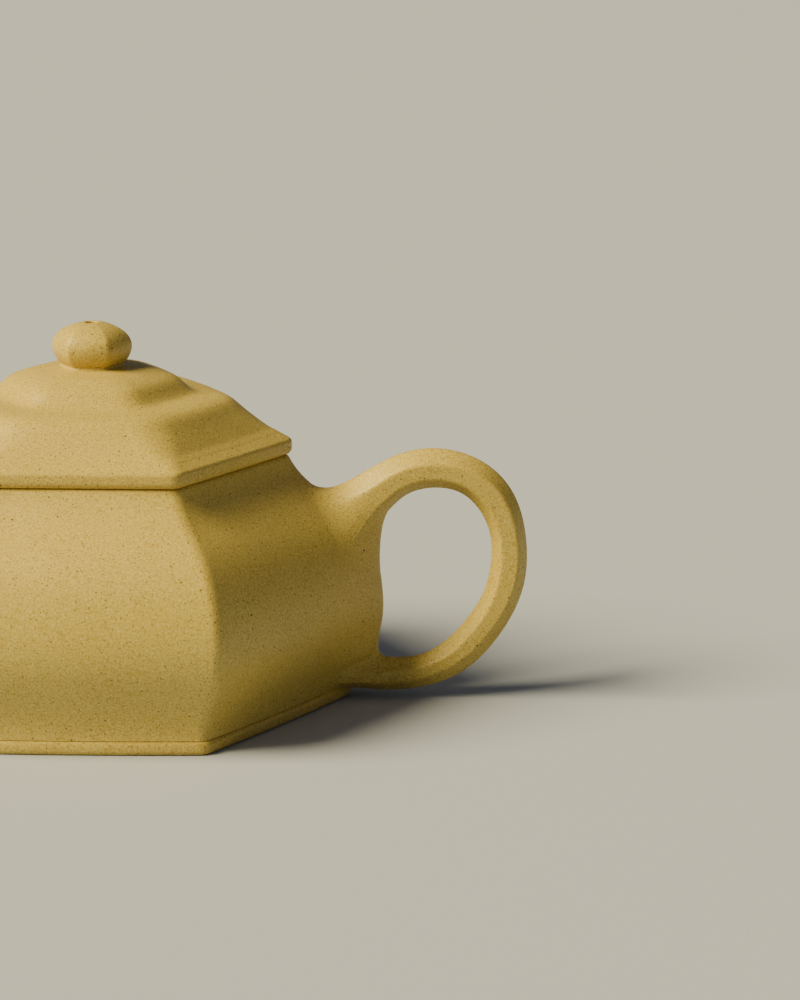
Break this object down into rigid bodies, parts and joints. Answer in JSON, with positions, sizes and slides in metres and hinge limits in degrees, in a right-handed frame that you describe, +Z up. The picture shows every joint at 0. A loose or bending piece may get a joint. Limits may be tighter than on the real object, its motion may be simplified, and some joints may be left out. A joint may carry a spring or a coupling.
{
  "type": "teapot",
  "caption": "Hexagonal unglazed clay teapot with a bowed panel body, ear handle, hollow spout with strainer, and a lift-off stepped lid with a vented knob.",
  "frame": {"origin": "middle of the base, on the table", "axes": "+Z up, +X towards the handle, -X towards the spout"},
  "size_m": [0.1577, 0.0926, 0.0694],
  "materials": {
    "burnished_clay": "unglazed yellow clay with dark specks, burnished to a soft sheen",
    "raw_clay": "unglazed yellow clay with dark specks, left matt"
  },
  "bodies": {
    "pot": {"base_slab": "burnished_clay", "wall_panel_handle_back": "burnished_clay", "wall_panel_back": "burnished_clay", "wall_panel_spout_back": "burnished_clay", "wall_panel_spout_front": "burnished_clay", "wall_panel_front": "burnished_clay", "wall_panel_handle_front": "burnished_clay", "mouth_ring": "burnished_clay", "handle": "burnished_clay", "spout": "burnished_clay", "spout_strainer": "raw_clay"},
    "lid": {"lid_rim_plate": "burnished_clay", "lid_flange": "raw_clay", "lid_dome": "burnished_clay", "lid_knob": "burnished_clay"}
  },
  "joints": [
    {"name": "lid_lift", "type": "slide", "parent": "pot", "child": "lid", "axis": [0, 0, 1], "range_m": [0, 0.06]}
  ]
}
